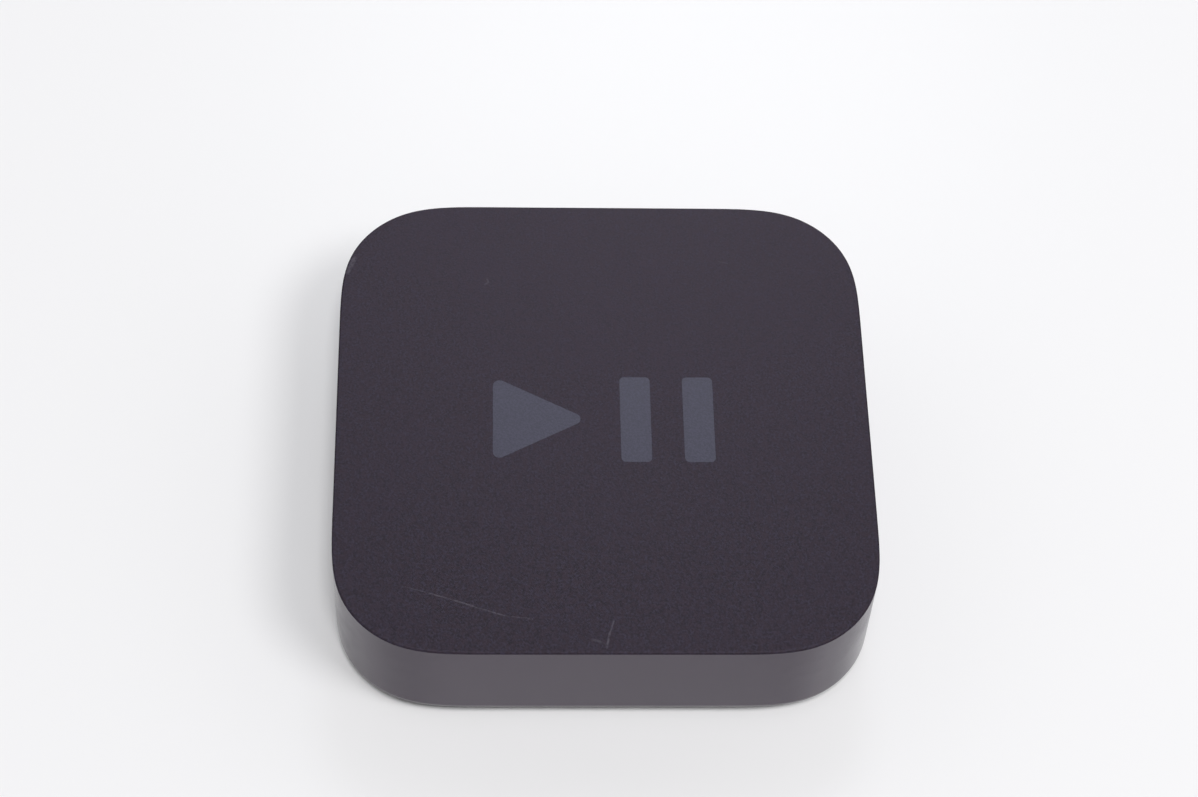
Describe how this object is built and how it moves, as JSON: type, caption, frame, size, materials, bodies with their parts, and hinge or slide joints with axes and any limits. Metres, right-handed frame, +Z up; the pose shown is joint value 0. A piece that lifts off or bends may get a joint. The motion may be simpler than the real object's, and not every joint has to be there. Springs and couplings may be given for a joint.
{
  "type": "streaming media player",
  "caption": "Low square media player with rounded corners, a matt roof and polished walls; mains, video, service, optical and network sockets at the rear.",
  "frame": {"origin": "centre of the footprint on the surface that the player stands on", "axes": "+Z up; -Y is the front with the status light; +Y is the rear with the sockets; +X is right when seen from the front"},
  "size_m": [0.098, 0.098, 0.023],
  "materials": {
    "antenna_carriers": "moulded",
    "antenna_elements": "plated radiator",
    "antenna_leads": "coaxial jacket",
    "board_capacitors": "drawn can with a printed band",
    "board_screws": "black zinc",
    "bottom_cover": "fine moulded grain",
    "bridge_rectifier": "moulded package",
    "ceramic_capacitors": "fired body with tinned ends",
    "controller_chips": "moulded package",
    "crystals": "nickel lid",
    "ethernet_contacts": "gold flash",
    "ethernet_insert": "moulded",
    "ethernet_magnetics": "moulded block with tinned legs",
    "ethernet_shell": "tinned sheet",
    "hdmi_contacts": "gold flash",
    "hdmi_shell": "nickel plate",
    "hdmi_tongue": "moulded insulator",
    "heat_spreader": "rolled sheet",
    "ir_receiver": "dark dyed epoxy",
    "led_light_pipe": "clear moulding",
    "main_board": "solder mask over copper",
    "mains_capacitor": "shrunk sleeve",
    "mains_choke": "enamelled copper on ferrite",
    "mains_fuse": "ceramic tube with metal caps",
    "memory_chips": "moulded package",
    "optical_emitter": "clear block over a red source",
    "optical_housing": "moulded",
    "optical_shutter": "moulded",
    "output_capacitors": "shrunk sleeve",
    "port_symbols": "flat print",
    "power_board": "paper laminate",
    "power_coils": "pressed iron powder",
    "power_inlet": "moulded",
    "power_insulator": "fibre-filled sheet",
    "power_leads": "insulated wire",
    "power_pins": "nickel plate",
    "power_plug": "natural nylon",
    "power_socket": "natural nylon",
    "processor": "moulded package with a metal lid",
    "processor_shield": "tinned sheet",
    "rubber_foot": "soft matt rubber",
    "sensor_board": "solder mask over copper",
    "sensor_connector": "natural nylon",
    "sensor_ribbon": "flat cable",
    "shutter_pin": "drawn wire",
    "shutter_spring": "spring wire",
    "status_led": "white package with a clear window",
    "suppression_capacitor": "moulded box",
    "switching_chip": "moulded package",
    "thermal_pads": "soft filled silicone",
    "top_case": "fine matt grain on the roof, polished walls",
    "top_mark": "flat print",
    "transformer_bobbin": "moulded",
    "transformer_core": "sintered ferrite",
    "transformer_winding": "insulating tape",
    "usb_contacts": "gold flash",
    "usb_shell": "nickel plate",
    "usb_tongue": "moulded insulator",
    "wireless_module": "solder mask with bare pads",
    "wireless_shield": "tinned sheet"
  },
  "bodies": {
    "player": {"antenna_carriers": "antenna_carriers", "antenna_elements": "antenna_elements", "antenna_leads": "antenna_leads", "board_capacitors": "board_capacitors", "board_screws": "board_screws", "bottom_cover": "bottom_cover", "bridge_rectifier": "bridge_rectifier", "ceramic_capacitors": "ceramic_capacitors", "controller_chips": "controller_chips", "crystals": "crystals", "ethernet_contacts": "ethernet_contacts", "ethernet_insert": "ethernet_insert", "ethernet_magnetics": "ethernet_magnetics", "ethernet_shell": "ethernet_shell", "hdmi_contacts": "hdmi_contacts", "hdmi_shell": "hdmi_shell", "hdmi_tongue": "hdmi_tongue", "heat_spreader": "heat_spreader", "ir_receiver": "ir_receiver", "led_light_pipe": "led_light_pipe", "main_board": "main_board", "mains_capacitor": "mains_capacitor", "mains_choke": "mains_choke", "mains_fuse": "mains_fuse", "memory_chips": "memory_chips", "optical_emitter": "optical_emitter", "optical_housing": "optical_housing", "output_capacitors": "output_capacitors", "port_symbols": "port_symbols", "power_board": "power_board", "power_coils": "power_coils", "power_inlet": "power_inlet", "power_insulator": "power_insulator", "power_leads": "power_leads", "power_pins": "power_pins", "power_plug": "power_plug", "power_socket": "power_socket", "processor": "processor", "processor_shield": "processor_shield", "rubber_foot": "rubber_foot", "sensor_board": "sensor_board", "sensor_connector": "sensor_connector", "sensor_ribbon": "sensor_ribbon", "shutter_pin": "shutter_pin", "shutter_spring": "shutter_spring", "status_led": "status_led", "suppression_capacitor": "suppression_capacitor", "switching_chip": "switching_chip", "thermal_pads": "thermal_pads", "top_case": "top_case", "top_mark": "top_mark", "transformer_bobbin": "transformer_bobbin", "transformer_core": "transformer_core", "transformer_winding": "transformer_winding", "usb_contacts": "usb_contacts", "usb_shell": "usb_shell", "usb_tongue": "usb_tongue", "wireless_module": "wireless_module", "wireless_shield": "wireless_shield"},
    "shutter": {"optical_shutter": "optical_shutter"}
  },
  "joints": [
    {"name": "optical_shutter_hinge", "type": "hinge", "parent": "player", "child": "shutter", "pos_m": [-0.0095, 0.0463, 0.0155], "axis": [-1, 0, 0], "range_deg": [0, 85], "stiffness_Nm_per_rad": 0.0001, "springref_deg": -20.05, "deforming": ["shutter_spring"]}
  ]
}
